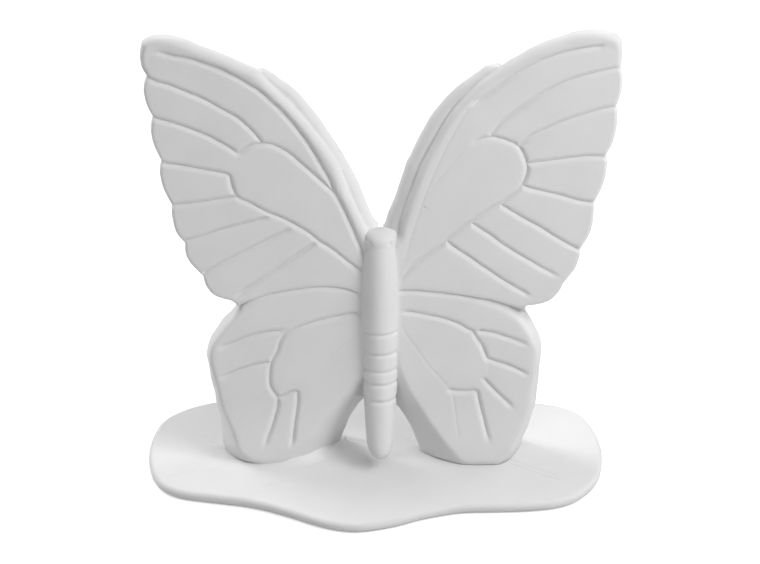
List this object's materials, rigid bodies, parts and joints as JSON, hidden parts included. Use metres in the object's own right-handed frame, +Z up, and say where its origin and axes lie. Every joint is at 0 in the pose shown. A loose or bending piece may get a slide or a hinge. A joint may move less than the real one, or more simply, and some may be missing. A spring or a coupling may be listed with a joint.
{
  "type": "butterfly ornament",
  "caption": "Unglazed white bisque butterfly with scalloped, vein-incised wings leaning back on a wavy flat slab",
  "frame": {"origin": "middle of the box on the underside of the slab, where the ornament stands", "axes": "+X runs across the wings, towards the right wing as seen from the front; +Y runs from front to back; +Z is up"},
  "size_m": [0.1796, 0.1006, 0.174],
  "materials": {
    "bisque": "unglazed white bisque, matt, with a fine grain and faint tool marks",
    "joining_slip": "fired white slip, matt and smoothed by hand into a soft fillet"
  },
  "bodies": {
    "root": {"base_slab": "bisque", "body": "bisque", "left_forewing": "bisque", "right_forewing": "bisque", "left_hindwing": "bisque", "right_hindwing": "bisque", "left_foot_slip": "joining_slip", "right_foot_slip": "joining_slip"}
  },
  "joints": []
}
